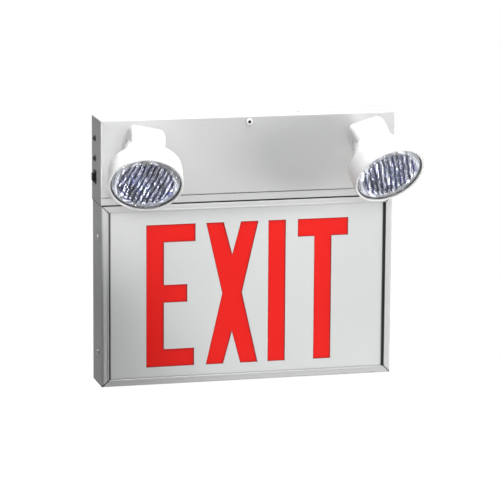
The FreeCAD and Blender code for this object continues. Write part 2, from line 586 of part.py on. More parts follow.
def joining_fasteners():
    """Screws and nuts that hold the sign box under the battery housing."""
    places = ("-join_outer_x", "-join_inner_x", "join_inner_x", "join_outer_x")
    tray_roof = f"{SEAM} - rail_wall - tray_gap - sheet"
    screws = new_body("joining_screws")
    shanks = sketch_on(screws, "XY_Plane", f"{tray_roof} - join_overrun")
    for at in places:
        disc(shanks, at, "-join_y", "join_r")
    pad(screws, shanks, f"{SEAM} + sheet - ({tray_roof} - join_overrun)")
    heads = sketch_on(screws, "XY_Plane", f"{SEAM} + sheet")
    for at in places:
        disc(heads, at, "-join_y", "join_head_r")
    pad(screws, heads, "join_head_thick")
    nuts = new_body("joining_nuts")
    flats = sketch_on(nuts, "XY_Plane", f"{tray_roof} - join_nut_thick")
    for at in places:
        hexagon(flats, at, "-join_y", "join_nut_flat")
        disc(flats, at, "-join_y", "join_r")
    pad(nuts, flats, "join_nut_thick")


def wire_bush():
    """Rubber bush that lines the wiring hole from the housing into the sign."""
    body = new_body("wire_bush")
    tray_roof = f"{SEAM} - rail_wall - tray_gap - sheet"
    for level, radius, length in ((f"{tray_roof} - bush_lip", "wire_pass_r + bush_lip", "bush_lip"),
                                  (tray_roof, "wire_pass_r", f"{SEAM} + sheet - ({tray_roof})"),
                                  (f"{SEAM} + sheet", "wire_pass_r + bush_lip", "bush_lip")):
        layer = sketch_on(body, "XY_Plane", level)
        disc(layer, "0", "-wire_pass_y", radius)
        pad(body, layer, length)
    bore = sketch_on(body, "XY_Plane", f"{tray_roof} - bush_lip - 1")
    disc(bore, "0", "-wire_pass_y", "wire_pass_r - bush_wall")
    pocket(body, bore, f"{SEAM} + sheet - ({tray_roof}) + 2 * bush_lip + 2")


# ---------------------------------------------------------------- lamp heads

def put_on_swivel(body, side, tilted):
    """Places a piece modelled about the knuckle, facing forward: panned about Y, then tilted."""
    pan = FreeCAD.Rotation(AXIS_Y, size(side + "_pan"))
    tilt = FreeCAD.Rotation(AXIS_X, size("head_tilt") if tilted else 0)
    body.Placement = FreeCAD.Placement(FreeCAD.Vector(0, 0, 0), pan * tilt)
    bind(body, "Placement.Base.x", f"{HEADS[side]} * head_x")
    bind(body, "Placement.Base.y", "-depth - head_reach")
    bind(body, "Placement.Base.z", "head_z")


def swivel_base(side):
    """Moulded swivel: flange on the cover, stem, tongue round the pivot, and a hollow threaded
    spigot through the cover."""
    body = new_body(side + "_swivel_base")
    section = sketch_on(body, "XY_Plane")
    outline(section, [
        ("0", "boss_r + 2"), ("tongue_half", "boss_r + 2"),
        ("tongue_half", "head_reach - flange_thick - 5"), ("stem_r", "head_reach - flange_thick"),
        ("flange_r - flange_edge", "head_reach - flange_thick"),
        ("flange_r", "head_reach - flange_thick + flange_edge"), ("flange_r", "head_reach"),
        ("spigot_r", "head_reach"),
        ("spigot_r", "head_reach + spigot_length - 1"), ("spigot_r - 1", "head_reach + spigot_length"),
        ("0", "head_reach + spigot_length")])
    turned(body, section)
    tongue = sketch_on(body, "YZ_Plane")
    outline(tongue, [("0", "tongue_half"), ("0", "-tongue_half"),
                     ("head_reach - flange_thick", "-tongue_half"),
                     ("head_reach - flange_thick", "tongue_half")])
    pad(body, tongue, "tongue_width", midplane=True)
    boss = sketch_on(body, "YZ_Plane")
    disc(boss, "0", "0", "boss_r")
    pad(body, boss, "tongue_width", midplane=True)
    pivot = sketch_on(body, "YZ_Plane")
    disc(pivot, "0", "0", "bolt_r + bolt_fit")
    pocket(body, pivot, "tongue_width + 2", midplane=True)
    bore = sketch_on(body, "XZ_Plane", "-boss_r - 8")
    disc(bore, "0", "0", "spigot_bore_r")
    pocket(body, bore, "head_reach + spigot_length", forward=False)
    lead = sketch_on(body, "XZ_Plane", "boss_r + 1")
    disc(lead, "0", "lead_hole_up", "lead_hole_r")
    pocket(body, lead, "2 * boss_r + 12", forward=False)
    put_on_swivel(body, side, tilted=False)


def swivel_hardware(side):
    """Washer and hexagon nut that clamp the swivel to the cover from inside."""
    washer = new_body(side + "_swivel_washer")
    ring = sketch_on(washer, "XZ_Plane", "-head_reach - sheet")
    disc(ring, "0", "0", "washer_r")
    disc(ring, "0", "0", "spigot_r")
    pad(washer, ring, "washer_thick", reverse=True)
    put_on_swivel(washer, side, tilted=False)
    nut = new_body(side + "_swivel_nut")
    flats = sketch_on(nut, "XZ_Plane", "-head_reach - sheet - washer_thick")
    hexagon(flats, "0", "0", "nut_flat")
    disc(flats, "0", "0", "spigot_r")
    pad(nut, flats, "nut_thick", reverse=True)
    put_on_swivel(nut, side, tilted=False)


def head_shell(side):
    """Moulded bell: rim, band and conical neck in one revolve, ended by a round-edged barrel
    across it that holds the pivot and is slotted below and behind for the swivel's tongue."""
    body = new_body(side + "_head_shell")
    front = "-lens_out - rim_proud"
    seat = "seat_depth - lens_out"
    bell = sketch_on(body, "XY_Plane")
    outline(bell, [
        ("0", "0"), ("neck_r", "0", "neck_bend"),
        ("crease_r - crease_step - 1", "-crease_out + 1"),
        ("crease_r", "-crease_out", "-shoulder_bend"),
        ("shoulder_r", "-shoulder_out"), ("rim_r", "-lens_out + 4"), ("rim_r", f"{front} + 0.8"),
        ("rim_r - 0.8", front), ("lens_r + 0.9", front), ("lens_r + 0.4", f"{front} + 0.6"),
        ("lens_r + 0.4", seat), ("lens_r - 1.4", seat),
        ("shoulder_r - shell_wall", "-shoulder_out", "shoulder_bend - shell_wall"),
        ("crease_r - shell_wall - crease_step", "-crease_out - 1"),
        ("cavity_r", "-cavity_out"), ("0", "-cavity_out")])
    turned(body, bell)
    barrel = sketch_on(body, "XY_Plane")
    outline(barrel, [
        ("-barrel_half", "0"), ("barrel_half", "0"),
        ("barrel_half", "barrel_r - barrel_round", "barrel_round"),
        ("barrel_half - barrel_round", "barrel_r"),
        ("barrel_round - barrel_half", "barrel_r", "barrel_round"),
        ("-barrel_half", "barrel_r - barrel_round")])
    turned(body, barrel, axis="H_Axis")
    cavity = sketch_on(body, "XZ_Plane", "cavity_out")
    disc(cavity, "0", "0", "cavity_r")
    pocket(body, cavity, "barrel_r - cavity_out + 1")
    slot_half = "(tongue_width / 2 + slot_gap)"
    slot = sketch_on(body, "YZ_Plane")
    high, low = "(head_tilt - tilt_up)", "(head_tilt + tilt_down)"
    grip = "(tongue_half + slot_gap)"
    reach = "(barrel_r + 8)"
    outline(slot, [
        (f"sin{high} * {grip}", f"cos{high} * {grip}"),
        (f"sin{high} * {grip} + cos{high} * {reach}", f"cos{high} * {grip} - sin{high} * {reach}"),
        (reach, f"-{reach}"),
        (f"-sin{low} * {grip} + cos{low} * {reach}", f"-cos{low} * {grip} - sin{low} * {reach}"),
        (f"-sin{low} * {grip}", f"-cos{low} * {grip}")])
    pocket(body, slot, f"2 * {slot_half}", midplane=True)
    well = sketch_on(body, "YZ_Plane")
    disc(well, "0", "0", "boss_r + slot_gap")
    pocket(body, well, f"2 * {slot_half}", midplane=True)
    lead = sketch_on(body, "XZ_Plane", "boss_r - 4")
    disc(lead, "0", "0", "lead_hole_r + 1.5")
    pocket(body, lead, "cavity_out")
    pivot = sketch_on(body, "YZ_Plane")
    disc(pivot, "0", "0", "bolt_r")
    pocket(body, pivot, "4 * barrel_r", midplane=True)
    sink = sketch_on(body, "YZ_Plane", "barrel_half - bolt_sink")
    disc(sink, "0", "0", "bolt_head_r + 0.5")
    pocket(body, sink, "2 * bolt_sink")
    nest = sketch_on(body, "YZ_Plane", "bolt_sink - barrel_half")
    hexagon(nest, "0", "0", "bolt_nut_flat")
    pocket(body, nest, "2 * bolt_sink", forward=False)
    put_on_swivel(body, side, tilted=True)


def pivot_hardware(side):
    """Bolt across the barrel and the nut that draws its ears onto the tongue."""
    bolt = new_body(side + "_pivot_bolt")
    shank = sketch_on(bolt, "YZ_Plane", "bolt_sink - barrel_half - bolt_nut_thick + bolt_short")
    disc(shank, "0", "0", "bolt_r")
    pad(bolt, shank, "2 * (barrel_half - bolt_sink) + bolt_nut_thick - bolt_short")
    head = sketch_on(bolt, "YZ_Plane", "barrel_half - bolt_sink")
    disc(head, "0", "0", "bolt_head_r")
    pad(bolt, head, "bolt_head_thick")
    top = size("barrel_half - bolt_sink + bolt_head_thick")
    round_edges(bolt, "bolt_dome", lambda edge: abs(edge.CenterOfMass.x - top) < 1e-3)
    key = sketch_on(bolt, "YZ_Plane", "barrel_half - bolt_sink + bolt_head_thick")
    hexagon(key, "0", "0", "bolt_key")
    pocket(bolt, key, "bolt_key_depth", forward=False)
    put_on_swivel(bolt, side, tilted=True)
    nut = new_body(side + "_pivot_nut")
    flats = sketch_on(nut, "YZ_Plane", "bolt_sink - barrel_half")
    hexagon(flats, "0", "0", "bolt_nut_flat - screw_fit")
    disc(flats, "0", "0", "bolt_r")
    pad(nut, flats, "bolt_nut_thick", reverse=True)
    put_on_swivel(nut, side, tilted=True)


def head_lens(side):
    """Clear moulded lens: crowned outside, flat edge, and inside it a raised round of upright
    flutes crossed by a row of block prisms near the bottom."""
    body = new_body(side + "_lens")
    crown_radius = "(lens_r * lens_r + lens_crown * lens_crown) / (2 * lens_crown)"
    section = sketch_on(body, "XY_Plane")
    outline(section, [
        ("0", "-lens_out + lens_edge"), ("lens_r", "-lens_out + lens_edge"),
        ("lens_r", "-lens_out", f"-({crown_radius})"), ("0", "-lens_out - lens_crown")])
    turned(body, section)
    raised = sketch_on(body, "XZ_Plane", "lens_out - lens_edge")
    disc(raised, "0", "0", "flute_zone_r")
    pad(body, raised, "flute_raise", reverse=True)
    back = "flute_raise + lens_edge - lens_out"
    flute = sketch_on(body, "XY_Plane", "-flute_low")
    for number in range(int(size("flute_count"))):
        at = f"flute_pitch * ({number} - (flute_count - 1) / 2)"
        outline(flute, [(f"{at} - flute_pitch * 0.36", f"{back} + 0.01", "flute_pitch * 0.45"),
                        (f"{at} + flute_pitch * 0.36", f"{back} + 0.01")])
    pocket(body, flute, "2 * flute_zone_r")
    groove = sketch_on(body, "YZ_Plane")
    for number in range(int(size("prism_rows"))):
        high = f"-flute_low - prism_pitch * ({number} + 0.5)"
        rectangle(groove, f"{back} - prism_depth", f"{high} - prism_groove", f"{back} + 1", high)
    pocket(body, groove, "2 * flute_zone_r + 2", midplane=True)
    put_on_swivel(body, side, tilted=True)


def head_optics(side):
    """Metallised reflector, lamp socket and bulb."""
    reflector = new_body(side + "_reflector")
    section = sketch_on(reflector, "XY_Plane")
    seat = "(lens_edge - lens_out)"
    hollow = "(-reflector_out)"
    outline(section, [
        ("reflector_neck_r", hollow, "-reflector_bend"), ("reflector_r", f"{seat} + reflector_wall"),
        ("lens_r", f"{seat} + reflector_wall"), ("lens_r", seat),
        ("reflector_r - reflector_wall", seat, "reflector_bend"),
        ("reflector_neck_r", f"{hollow} - reflector_wall * 1.4")])
    turned(reflector, section)
    put_on_swivel(reflector, side, tilted=True)
    socket = new_body(side + "_lamp_socket")
    cup = sketch_on(socket, "XY_Plane")
    outline(cup, [
        ("0", "-cavity_out"), ("socket_r", "-cavity_out"), ("socket_r", "-cavity_out - socket_length"),
        ("bulb_r + 0.4", "-cavity_out - socket_length"),
        ("bulb_r + 0.4", "socket_cup - cavity_out - socket_length"),
        ("0", "socket_cup - cavity_out - socket_length")])
    turned(socket, cup)
    put_on_swivel(socket, side, tilted=True)
    bulb = new_body(side + "_bulb")
    glass = sketch_on(bulb, "XY_Plane")
    foot = "(socket_cup - cavity_out - socket_length)"
    outline(glass, [
        ("0", foot), ("bulb_r - 1.2", foot), ("bulb_r - 1.2", f"{foot} - 4"),
        ("bulb_r", f"{foot} - 7"),
        ("bulb_r", f"{foot} - bulb_length + bulb_r", "-bulb_r"), ("0", f"{foot} - bulb_length")])
    turned(bulb, glass)
    put_on_swivel(bulb, side, tilted=True)


# ---------------------------------------------------------------- side controls

def indicator(name, level):
    """Domed diode lens in a small holder on the housing's left side."""
    lens = new_body(name)
    wall = f"(-{HOUSING_HALF})"
    stem = sketch_on(lens, "YZ_Plane", f"{wall} - led_lens_proud")
    disc(stem, "-side_parts_y", level, "led_lens_r")
    pad(lens, stem, "led_lens_length")
    tip = size(f"{wall} - led_lens_proud")
    round_edges(lens, "led_lens_r - 0.3", lambda edge: abs(edge.CenterOfMass.x - tip) < 1e-3)
    holder = new_body(name + "_holder")
    collar = sketch_on(holder, "YZ_Plane", f"{wall} - bezel_thick")
    disc(collar, "-side_parts_y", level, "bezel_r")
    pad(holder, collar, "bezel_thick")
    sleeve = sketch_on(holder, "YZ_Plane", wall)
    disc(sleeve, "-side_parts_y", level, "bezel_sleeve_r")
    pad(holder, sleeve, "bezel_sleeve")
    bore = sketch_on(holder, "YZ_Plane", f"{wall} - bezel_thick - 1")
    disc(bore, "-side_parts_y", level, "led_lens_r")
    pocket(holder, bore, "bezel_thick + bezel_sleeve + 2")


def test_switch():
    """Snap-in switch: a flanged body with a well, and the button that travels in it."""
    wall = f"(-{HOUSING_HALF})"
    shell = new_body("test_switch_body")
    layers = ((f"{wall} - switch_flange", "switch_flange", "switch_wide", "switch_tall"),
              (wall, "shank_length", "shank_wide", "shank_tall"))
    for at, length, wide, tall in layers:
        layer = sketch_on(shell, "YZ_Plane", at)
        rectangle(layer, f"-side_parts_y - {wide} / 2", f"switch_z - {tall} / 2",
                  f"-side_parts_y + {wide} / 2", f"switch_z + {tall} / 2")
        pad(shell, layer, length)
    well = sketch_on(shell, "YZ_Plane", f"{wall} - switch_flange - 1")
    rectangle(well, "-side_parts_y - button_wide / 2 - button_gap",
              "switch_z - button_tall / 2 - button_gap",
              "-side_parts_y + button_wide / 2 + button_gap",
              "switch_z + button_tall / 2 + button_gap")
    pocket(shell, well, "1 + switch_flange - button_proud + button_length + button_travel")
    button = new_body("test_button")
    face = sketch_on(button, "YZ_Plane", f"{wall} - switch_flange - button_proud")
    rectangle(face, "-side_parts_y - button_wide / 2", "switch_z - button_tall / 2",
              "-side_parts_y + button_wide / 2", "switch_z + button_tall / 2")
    pad(button, face, "button_length")
    tip = size(f"{wall} - switch_flange - button_proud")
    round_edges(button, "button_round", lambda edge: abs(edge.CenterOfMass.x - tip) < 1e-3)


# ---------------------------------------------------------------- what the housing holds

def battery():
    """Sealed lead-acid battery with two tabs, held to the housing's back by a folded strap."""
    floor = f"({SEAM} + sheet)"
    rear = "(sheet + battery_off)"
    case = new_body("battery")
    block = sketch_on(case, "XZ_Plane", rear)
    rectangle(block, "battery_x", floor, "battery_x + battery_wide", f"{floor} + battery_tall")
    pad(case, block, "battery_deep")
    round_edges(case, "battery_round", lambda edge: along(edge, AXIS_Z))
    tabs = new_body("battery_terminals")
    feet = sketch_on(tabs, "XY_Plane", f"{floor} + battery_tall")
    for at in ("battery_x + terminal_in", "battery_x + battery_wide - terminal_in"):
        rectangle(feet, f"{at} - terminal_wide / 2", f"-{rear} - terminal_back - terminal_thick",
                  f"{at} + terminal_wide / 2", f"-{rear} - terminal_back")
    pad(tabs, feet, "terminal_tall")
    strap = new_body("battery_strap")
    band = sketch_on(strap, "XY_Plane", f"{floor} + strap_up")
    left, right = "(battery_x - strap_gap)", "(battery_x + battery_wide + strap_gap)"
    near = f"-{rear} - battery_deep - strap_gap"
    outline(band, [
        (f"{left} - strap_foot", "-sheet"), (f"{left} - strap_foot", "-2 * sheet"),
        (f"{left} - sheet", "-2 * sheet"),
        (f"{left} - sheet", f"{near} - sheet"), (f"{right} + sheet", f"{near} - sheet"),
        (f"{right} + sheet", "-2 * sheet"), (f"{right} + strap_foot", "-2 * sheet"),
        (f"{right} + strap_foot", "-sheet"), (right, "-sheet"), (right, near), (left, near),
        (left, "-sheet")])
    pad(strap, band, "strap_wide")


def transformer():
    """Laminated core with two windows and the winding on its middle leg."""
    floor = f"({SEAM} + sheet)"
    middle = f"({floor} + core_tall / 2)"
    core = new_body("transformer_core")
    stack = sketch_on(core, "XZ_Plane", "core_off")
    rectangle(stack, "core_x - core_wide / 2", floor, "core_x + core_wide / 2", f"{floor} + core_tall")
    pad(core, stack, "core_deep")
    windows = sketch_on(core, "XZ_Plane", "core_off - 1")
    for side in ("-", "+"):
        near, far = f"core_x {side} core_leg / 2", f"core_x {side} (core_leg / 2 + core_window)"
        rectangle(windows, near, f"{middle} - core_window_tall / 2",
                  far, f"{middle} + core_window_tall / 2")
    pocket(core, windows, "core_deep + 2")
    coil = new_body("transformer_coil")
    turns = sketch_on(coil, "XY_Plane", f"{middle} - core_window_tall / 2 + coil_gap")
    rectangle(turns, "core_x - core_leg / 2 - core_window + coil_gap",
              "-core_off - core_deep - coil_over",
              "core_x + core_leg / 2 + core_window - coil_gap", "-core_off + coil_over")
    rectangle(turns, "core_x - core_leg / 2 - coil_gap", "-core_off - core_deep - coil_gap",
              "core_x + core_leg / 2 + coil_gap", "-core_off + coil_gap")
    pad(coil, turns, "core_window_tall - 2 * coil_gap")
    leg = size("core_leg / 2 + coil_gap")
    round_edges(coil, "coil_round",
                lambda edge: along(edge, AXIS_Z)
                and abs(edge.CenterOfMass.x - size("core_x")) > leg + 1)


def charger():
    """Charger board on four standoffs, with its relay, capacitors and connector."""
    face = "(sheet + standoff_tall)"
    right, high = "board_left + board_wide", "board_low + board_tall"
    corners = [(x, z) for x in ("board_left + standoff_in", f"{right} - standoff_in")
               for z in ("board_low + standoff_in", f"{high} - standoff_in")]
    posts = new_body("board_standoffs")
    feet = sketch_on(posts, "XZ_Plane", "sheet")
    for x, z in corners:
        disc(feet, x, z, "standoff_r")
    pad(posts, feet, "standoff_tall")
    board = new_body("charger_board")
    sheet = sketch_on(board, "XZ_Plane", face)
    rectangle(sheet, "board_left", "board_low", right, high)
    pad(board, sheet, "board_thick")
    top = f"({face} + board_thick)"
    relay = new_body("transfer_relay")
    foot = sketch_on(relay, "XZ_Plane", top)
    rectangle(foot, "board_left + relay_x", "board_low + relay_z",
              "board_left + relay_x + relay_wide", "board_low + relay_z + relay_tall")
    pad(relay, foot, "relay_deep")
    cans = new_body("filter_capacitors")
    round_feet = sketch_on(cans, "XZ_Plane", top)
    for at in ("board_left + capacitor_x", "board_left + capacitor_x + capacitor_pitch"):
        disc(round_feet, at, "board_low + capacitor_z", "capacitor_r")
    pad(cans, round_feet, "capacitor_tall")
    plug = new_body("output_connector")
    header = sketch_on(plug, "XZ_Plane", top)
    rectangle(header, "board_left + plug_x", "board_low + plug_z",
              "board_left + plug_x + plug_ways * plug_pitch", "board_low + plug_z + plug_tall")
    pad(plug, header, "plug_deep")
    slots = sketch_on(plug, "XZ_Plane", f"{top} + plug_deep - plug_way_deep")
    for number in range(int(size("plug_ways"))):
        disc(slots, f"board_left + plug_x + plug_pitch * ({number} + 0.5)",
             "board_low + plug_z + plug_tall / 2", "plug_way_r")
    pocket(plug, slots, "plug_way_deep + 1")


def supply_terminals():
    """Screw terminal block for the mains supply, on the back under the wire entry."""
    body = new_body("supply_terminals")
    block = sketch_on(body, "XZ_Plane", "sheet")
    rectangle(block, "supply_x - block_wide / 2", "supply_z - block_tall / 2",
              "supply_x + block_wide / 2", "supply_z + block_tall / 2")
    pad(body, block, "block_deep")
    ways = sketch_on(body, "XZ_Plane", "sheet + block_deep - block_way_deep")
    for number in (-1, 0, 1):
        disc(ways, f"supply_x + {number} * block_pitch", "supply_z", "block_way_r")
    pocket(body, ways, "block_way_deep + 1")


battery_housing()
front_cover()
cover_screw()
frame_rails()
corner_keys()
sign_tray()
stencil_plate()
red_diffuser()
light_strips()
rail_screws()
joining_fasteners()
wire_bush()
for side in HEADS:
    swivel_base(side)
    swivel_hardware(side)
    head_shell(side)
    pivot_hardware(side)
    head_lens(side)
    head_optics(side)
indicator("power_indicator", "power_led_z")
indicator("charge_indicator", "charge_led_z")
test_switch()
battery()
transformer()
charger()
supply_terminals()

doc.recompute()
for item in doc.Objects:
    if "Invalid" in item.State or "Error" in item.State:
        raise RuntimeError(f"{item.Label}: {item.State}")
for part in PARTS:
    if part.Shape.isNull() or not part.Shape.isValid() or part.Shape.Volume < 1e-6:
        raise RuntimeError(part.Label + ": bad shape")
os.makedirs("parts", exist_ok=True)
for part in PARTS:
    part.Shape.exportStep(f"parts/{part.Label}.step")
    print(part.Label, len(part.Shape.Solids), round(part.Shape.Volume / 1000, 2), "cm3")
print(len(PARTS), "parts")
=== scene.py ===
"""Dressed model of a wall-mounted exit sign with two emergency lamp heads."""
import math

import bpy
from mathutils import Matrix, Vector


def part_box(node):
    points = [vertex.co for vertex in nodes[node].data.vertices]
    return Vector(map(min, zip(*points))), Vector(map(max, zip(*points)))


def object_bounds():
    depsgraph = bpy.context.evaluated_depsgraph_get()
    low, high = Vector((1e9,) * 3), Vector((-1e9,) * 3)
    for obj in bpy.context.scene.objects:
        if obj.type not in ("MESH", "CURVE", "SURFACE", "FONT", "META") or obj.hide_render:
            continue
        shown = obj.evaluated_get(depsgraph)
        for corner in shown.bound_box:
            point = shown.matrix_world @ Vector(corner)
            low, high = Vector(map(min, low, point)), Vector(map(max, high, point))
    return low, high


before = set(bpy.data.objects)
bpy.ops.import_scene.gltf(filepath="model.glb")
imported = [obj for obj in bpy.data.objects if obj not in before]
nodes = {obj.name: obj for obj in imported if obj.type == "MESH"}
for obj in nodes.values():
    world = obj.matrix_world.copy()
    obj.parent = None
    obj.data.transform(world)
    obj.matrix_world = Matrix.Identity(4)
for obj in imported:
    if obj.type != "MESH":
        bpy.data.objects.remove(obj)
cad_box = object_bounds()

# ---------------------------------------------------------------- camera
# A long lens to the left of the sign and a little above it, turned by a trace about its axis.
azimuth, elevation, roll = math.radians(-14.62), math.radians(11.27), math.radians(0.39)
distance = 4.369
front_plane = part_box("front_cover")[0][1]
aim = Vector((0.0022, front_plane, -0.0014))
back = Vector((math.sin(azimuth) * math.cos(elevation), -math.cos(azimuth) * math.cos(elevation),
               math.sin(elevation)))
lens = bpy.data.cameras.new("camera")
lens.lens = 224.2
lens.sensor_width = 36.0
lens.clip_end = 60.0
camera = bpy.data.objects.new("camera", lens)
bpy.context.collection.objects.link(camera)
turned = back.to_track_quat("Z", "Y").to_matrix() @ Matrix.Rotation(roll, 3, "Z")
camera.matrix_world = Matrix.Translation(aim + back * distance) @ turned.to_4x4()
bpy.context.scene.camera = camera


# ---------------------------------------------------------------- studio floor
# A pale matte floor well below the hung sign, white to the camera. The lenses see soft light
# and dark bands in it, as they would in a studio with panels round it.
def add(tree, kind, inputs=(), **settings):
    """A new node of that kind in tree, with these settings and these values at its inputs."""
    node = tree.nodes.new("ShaderNode" + kind)
    for setting, value in settings.items():
        setattr(node, setting, value)
    for socket, value in dict(inputs).items():
        node.inputs[socket].default_value = value
    return node


def link(tree, *runs):
    """Joins nodes in tree, each run being a node, its output, the next node and its input."""
    for source, out, target, into in runs:
        tree.links.new(source.outputs[out], target.inputs[into])


def bands(tree, source, out, wave, cut):
    """Wavy bands over a vector, 0 in the dark ones and 1 in the light ones, with an edge at cut."""
    pattern = add(tree, "TexWave", wave)
    edge = add(tree, "MapRange", {"From Min": cut[0], "From Max": cut[1]})
    link(tree, (source, out, pattern, "Vector"), (pattern, "Fac", edge, "Value"))
    return edge


def between(tree, dark, light, share):
    """A colour from dark to light by the result of the node share, where it is given."""
    tone = add(tree, "Mix", {"A": (*dark, 1.0), "B": (*light, 1.0)}, data_type="RGBA")
    link(tree, (share, "Result", tone, "Factor"))
    return tone


def bare(name):
    """A material with an empty node tree."""
    material = bpy.data.materials.new(name)
    material.use_nodes = True
    material.node_tree.nodes.clear()
    return material


floor_drop, floor_size = 0.42, 24.0
bpy.ops.mesh.primitive_plane_add(size=floor_size, location=(0.0, 0.0, cad_box[0][2] - floor_drop))
floor = bpy.context.object
floor.name = "studio_floor"
pale = bare("studio_floor")
tree = pale.node_tree
matte = add(tree, "BsdfDiffuse", {"Color": (0.55, 0.55, 0.55, 1.0)})
glow = add(tree, "Emission", {"Strength": 1.04})
ray = add(tree, "LightPath")
white_share = add(tree, "Math", {1: 0.96}, operation="MULTIPLY")
spot = add(tree, "TexCoord")
edge = bands(tree, spot, "Object", {"Scale": 0.55, "Distortion": 2.5, "Detail": 1.0}, (0.52, 0.62))
sheen = between(tree, (0.55, 0.58, 0.66), (2.3, 2.32, 2.36), edge)
seen = add(tree, "Emission")
through = add(tree, "MixShader")
mixed = add(tree, "MixShader")
output = add(tree, "OutputMaterial")
link(tree, (sheen, "Result", seen, "Color"), (ray, "Is Transmission Ray", through, "Fac"),
     (matte, 0, through, 1), (seen, 0, through, 2), (ray, "Is Camera Ray", white_share, 0),
     (white_share, 0, mixed, "Fac"), (through, 0, mixed, 1), (glow, 0, mixed, 2),
     (mixed, 0, output, "Surface"))
floor.data.materials.append(pale)

# ---------------------------------------------------------------- studio sky
# White to the camera, and a soft room to everything else: light on the right and dim on the
# left. Mirrors and lenses see upright bright panels in it, with near-black gaps between them.
world = bpy.data.worlds.new("studio")
bpy.context.scene.world = world
world.use_nodes = True
tree = world.node_tree
tree.nodes.clear()
direction = add(tree, "TexCoord")
split = add(tree, "SeparateXYZ")
sideways = add(tree, "MapRange",
               {"From Min": -0.9, "From Max": 0.9, "To Min": 0.10, "To Max": 0.44})
soft = add(tree, "Background", {"Color": (0.97, 0.985, 1.0, 1.0)})
panel_wave = {"Scale": 0.36, "Phase Offset": 1.2, "Distortion": 0.6, "Detail": 1.0}
panels = bands(tree, direction, "Generated", panel_wave, (0.50, 0.62))
shade = between(tree, (0.012, 0.018, 0.050), (2.3, 2.32, 2.38), panels)
mirrored = add(tree, "Background")
white = add(tree, "Background", {"Color": (1.0, 1.0, 1.0, 1.0), "Strength": 1.05})
ray = add(tree, "LightPath")
sharp = add(tree, "Math", operation="MAXIMUM")
through = add(tree, "MixShader")
mixed = add(tree, "MixShader")
output = add(tree, "OutputWorld")
link(tree, (direction, "Generated", split, 0), (split, "X", sideways, "Value"),
     (sideways, 0, soft, "Strength"), (shade, "Result", mirrored, "Color"),
     (ray, "Is Singular Ray", sharp, 0), (ray, "Is Transmission Ray", sharp, 1),
     (sharp, 0, through, "Fac"), (soft, 0, through, 1), (mirrored, 0, through, 2),
     (ray, "Is Camera Ray", mixed, "Fac"), (through, 0, mixed, 1), (white, 0, mixed, 2),
     (mixed, 0, output, "Surface"))

# ---------------------------------------------------------------- studio lamps and flag
# Soft boxes on the right, above, in front and behind, and a narrow weak one on the upper left
# corner. A black card that the camera doesn't see keeps light off the lower left corner.
full_spread = 180.0
LIGHTS = [
    # name, place, aim, size, watts, colour, spread of the beam in degrees
    ("key", (1.25, -1.10, 0.05), (0.05, 0.0, 0.0), 0.5, 11.0, (1.0, 0.995, 0.985), full_spread),
    ("overhead", (0.1, -0.20, 1.5), (0.0, -0.05, 0.1), 1.2, 34.0, (1.0, 1.0, 1.0), full_spread),
    ("front_fill", (-0.60, -2.9, 0.75), (-0.05, 0.0, 0.05), 1.6, 19.0, (0.98, 0.99, 1.0),
     full_spread),
    ("corner_spot", (-0.46, -1.5, 0.42), (-0.275, -0.05, 0.125), 0.14, 0.10, (1.0, 1.0, 1.0), 13.0),
    ("rear_fill", (0.25, 2.8, -0.10), (0.0, 0.03, 0.0), 1.4, 14.0, (1.0, 1.0, 1.0), full_spread),
]
for name, place, target, size, watts, colour, spread in LIGHTS:
    lamp = bpy.data.lights.new(name, "AREA")
    lamp.size = size
    lamp.energy = watts
    lamp.color = colour
    lamp.spread = math.radians(spread)
    holder = bpy.data.objects.new(name, lamp)
    bpy.context.collection.objects.link(holder)
    facing = (Vector(place) - Vector(target)).to_track_quat("Z", "Y").to_matrix().to_4x4()
    holder.matrix_world = Matrix.Translation(Vector(place)) @ facing

flag_size, flag_place = 0.40, (-0.34, -0.26, -0.17)
bpy.ops.mesh.primitive_plane_add(size=flag_size, location=flag_place)
flag = bpy.context.object
flag.name = "studio_flag"
flag.rotation_euler = (math.radians(90.0), math.radians(45.0), 0.0)
black_card = bare("studio_flag")
tree = black_card.node_tree
felt = add(tree, "BsdfDiffuse", {"Color": (0.02, 0.02, 0.02, 1.0)})
open_air = add(tree, "BsdfTransparent")
ray = add(tree, "LightPath")
mixed = add(tree, "MixShader")
output = add(tree, "OutputMaterial")
link(tree, (ray, "Is Camera Ray", mixed, "Fac"), (felt, 0, mixed, 1), (open_air, 0, mixed, 2),
     (mixed, 0, output, "Surface"))
flag.data.materials.append(black_card)
bpy.context.scene.view_settings.view_transform = "Standard"


# ---------------------------------------------------------------- battery housing and cover
# Folded sheet steel, powder coated satin grey-white after folding: a faint mottle in tone and
# a fine orange-peel skin. The cover laps the housing and one screw at the top holds it.
def finish(name):
    """A material with one shader, its node tree and that shader."""
    skin = bpy.data.materials.new(name)
    skin.use_nodes = True
    return skin, skin.node_tree, skin.node_tree.nodes["Principled BSDF"]


def cloudy(name, dark, light, scale, detail, gloss):
    """A finish that wanders between two tones, and between two roughnesses if gloss is given."""
    skin, tree, shader = finish(name)
    place = add(tree, "TexCoord")
    cloud = add(tree, "TexNoise", {"Scale": scale, "Detail": detail})
    tone = add(tree, "Mix", {"A": (*dark, 1.0), "B": (*light, 1.0)}, data_type="RGBA")
    link(tree, (place, "Object", cloud, "Vector"), (cloud, "Fac", tone, "Factor"),
         (tone, "Result", shader, "Base Color"))
    if gloss:
        wander = add(tree, "MapRange", {"To Min": gloss[0], "To Max": gloss[1]})
        link(tree, (cloud, "Fac", wander, "Value"), (wander, "Result", shader, "Roughness"))
    return skin


